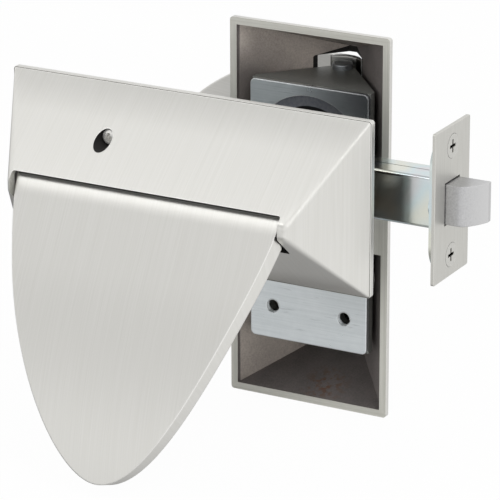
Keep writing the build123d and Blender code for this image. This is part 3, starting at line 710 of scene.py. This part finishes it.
def tap_fixing_holes(tree):
    """Threads in the two fixing holes of each mounting plate, from one face of the plate to the other."""
    through = Vector((0, 1, 0))
    length = plate_thickness - 2 * THREAD_RIDGE
    from_hub = -plate_low.x - FIXING_END_MARGIN
    half_spacing = plate_high.z - FIXING_SIDE_MARGIN
    starts = []
    for offset in (-half_spacing, half_spacing):
        for trim in TRIM_SIDES.values():
            plate_middle = trim["outward"] * (door_half + plate_thickness / 2)
            hole = plate_middle - trim["barrel"] * from_hub + trim["up"] * offset
            starts.append(hole - through * length / 2)
    mesh = run_tree("fixing_hole_threads", starts, tree, {
        "Radius": FIXING_RADIUS, "Wire": THREAD_RIDGE, "Length": length, "Turns": length / THREAD_PITCH,
        "Steps": THREAD_STEPS, "Sides": THREAD_SIDES, "Axis": tuple(through), "Finish": zinc})
    separate_piece("fixing_hole_threads", mesh, "frame")


def wind_latch_spring(tree):
    """The latch spring's coil between its stop and the bolt."""
    along = Vector((1, 0, 0))
    solid_low, solid_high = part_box("latch_spring")
    bolt_low, bolt_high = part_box("latch_bolt")
    start = (solid_low + solid_high) / 2
    start.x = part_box("spring_stop")[1].x
    room = bolt_low.x - start.x
    mesh = run_tree("latch_spring_coil", [start + along * SPRING_WIRE / 2], tree, {
        "Radius": (solid_high.z - solid_low.z - SPRING_WIRE) / 2, "Wire": SPRING_WIRE / 2,
        "Length": room - SPRING_WIRE, "Turns": SPRING_TURNS, "Steps": SPRING_STEPS,
        "Sides": SPRING_SIDES, "Axis": tuple(along), "Finish": wire})
    spring = separate_piece("latch_spring_coil", mesh, "frame")
    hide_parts("latch_spring")
    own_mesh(spring)


coil = wound_wire()
tap_fixing_holes(coil)
wind_latch_spring(coil)


# Camera, light and floor
def set_camera():
    """The photograph's camera, placed from its direction, distance and shift."""
    azimuth, elevation = radians(VIEW_AZIMUTH), radians(VIEW_ELEVATION)
    back = Vector((sin(azimuth) * cos(elevation), -cos(azimuth) * cos(elevation), sin(elevation)))
    right = Vector((cos(azimuth), sin(azimuth), 0))
    up = back.cross(right)
    place = back * VIEW_DISTANCE - right * VIEW_RIGHT - up * VIEW_UP
    turn = Matrix((right, up, back)).transposed().to_4x4()
    data = bpy.data.cameras.new("view")
    data.lens = LENS_MM
    data.sensor_width = SENSOR_MM
    camera = bpy.data.objects.new("view", data)
    camera.matrix_world = Matrix.Translation(place) @ turn @ Matrix.Rotation(radians(VIEW_ROLL), 4, "Z")
    bpy.context.scene.collection.objects.link(camera)
    bpy.context.scene.camera = camera


def soft_light(name, place, width, power, mirrored):
    """A square softbox aimed at the object. Brushed faces would mirror a strong one as a white patch, so
    only a weak one is mirrored."""
    data = bpy.data.lights.new(name, "AREA")
    data.size = width
    data.energy = power
    lamp = bpy.data.objects.new(name, data)
    aim = -Vector(place)
    lamp.matrix_world = Matrix.Translation(place) @ aim.to_track_quat("-Z", "Y").to_matrix().to_4x4()
    lamp.visible_glossy = mirrored
    bpy.context.scene.collection.objects.link(lamp)


def set_world():
    """White to the camera, and in reflections a studio of pale walls, dimmer in front and overhead
    behind, and darkest below the object on its left."""
    world = bpy.data.worlds.new("studio")
    world.use_nodes = True
    tree = world.node_tree
    tree.nodes.clear()
    path = add_node(tree, "ShaderNodeLightPath").outputs
    direction = add_node(tree, "ShaderNodeTexCoord").outputs["Generated"]
    ahead = add_node(tree, "ShaderNodeVectorMath", {
        0: direction, 1: FRONT_WALL_WAY}, operation="DOT_PRODUCT")
    front_wall = add_node(tree, "ShaderNodeMapRange", {
        "Value": ahead.outputs["Value"], "From Min": 0.88, "From Max": 0.96, "To Min": 1.0, "To Max": 0.77})
    behind = add_node(tree, "ShaderNodeVectorMath", {
        0: direction, 1: CEILING_WAY}, operation="DOT_PRODUCT")
    ceiling = add_node(tree, "ShaderNodeMapRange", {
        "Value": behind.outputs["Value"], "From Min": 0.85, "From Max": 1.0, "To Min": 1.0, "To Max": 0.6})
    upper = add_node(tree, "ShaderNodeMath", {
        0: front_wall.outputs[0], 1: ceiling.outputs[0]}, operation="MINIMUM")
    rise = add_node(tree, "ShaderNodeVectorMath", {
        0: direction, 1: UPRIGHT_WAY}, operation="DOT_PRODUCT")
    ground = add_node(tree, "ShaderNodeMapRange", {
        "Value": rise.outputs["Value"], "From Min": -0.43, "From Max": 0.57, "To Min": 0.62, "To Max": 2.0})
    right = add_node(tree, "ShaderNodeSeparateXYZ", {0: direction}).outputs["X"]
    lower = add_node(tree, "ShaderNodeMath", {
        0: right, 1: RIGHT_SIDE_GAIN, 2: ground.outputs[0]}, operation="MULTIPLY_ADD")
    mirrored = add_node(tree, "ShaderNodeMath", {
        0: upper.outputs[0], 1: lower.outputs[0]}, operation="MINIMUM")
    glossy = add_node(tree, "ShaderNodeMath", {
        0: path["Is Glossy Ray"], 1: path["Is Transmission Ray"]}, operation="MAXIMUM")
    shining = add_node(tree, "ShaderNodeMix", {
        SHARE: glossy.outputs[0], NUMBER_A: DULL_FACE_LIGHT, NUMBER_B: mirrored.outputs[0]})
    level = add_node(tree, "ShaderNodeMix", {
        SHARE: path["Is Camera Ray"], NUMBER_A: shining.outputs[0], NUMBER_B: 1.0})
    light = add_node(tree, "ShaderNodeBackground", {"Color": (1, 1, 1, 1), "Strength": level.outputs[0]})
    add_node(tree, "ShaderNodeOutputWorld", {"Surface": light.outputs[0]})
    bpy.context.scene.world = world


def set_floor():
    """A pale floor under the object that keeps its shadow and is white to the camera. Metal mirrors
    the studio's own dark underside in its place."""
    mesh = bpy.data.meshes.new("floor")
    corner_ways = ((-1, -1), (1, -1), (1, 1), (-1, 1))
    corners = [(x * FLOOR_REACH, y * FLOOR_REACH, cad_low.z) for x, y in corner_ways]
    mesh.from_pydata(corners, [], [(0, 1, 2, 3)])
    material = bpy.data.materials.new("pale_floor_paint")
    material.use_nodes = True
    tree = material.node_tree
    tree.nodes.clear()
    path = add_node(tree, "ShaderNodeLightPath").outputs
    paint = add_node(tree, "ShaderNodeBsdfDiffuse", {"Color": linear("EDEDEB")})
    white = add_node(tree, "ShaderNodeEmission", {"Color": (1, 1, 1, 1), "Strength": 1.0})
    share = add_node(tree, "ShaderNodeMath", {
        0: path["Is Camera Ray"], 1: FLOOR_WHITE_SHARE}, operation="MULTIPLY")
    seen = add_node(tree, "ShaderNodeMixShader", {
        0: share.outputs[0], 1: paint.outputs[0], 2: white.outputs[0]})
    add_node(tree, "ShaderNodeOutputMaterial", {"Surface": seen.outputs[0]})
    mesh.materials.append(material)
    floor = bpy.data.objects.new("floor", mesh)
    floor.visible_glossy = False
    bpy.context.scene.collection.objects.link(floor)


set_camera()
for name, lamp in LAMPS.items():
    soft_light(name, **lamp)
set_world()
set_floor()
bpy.context.scene.view_settings.view_transform = "Standard"
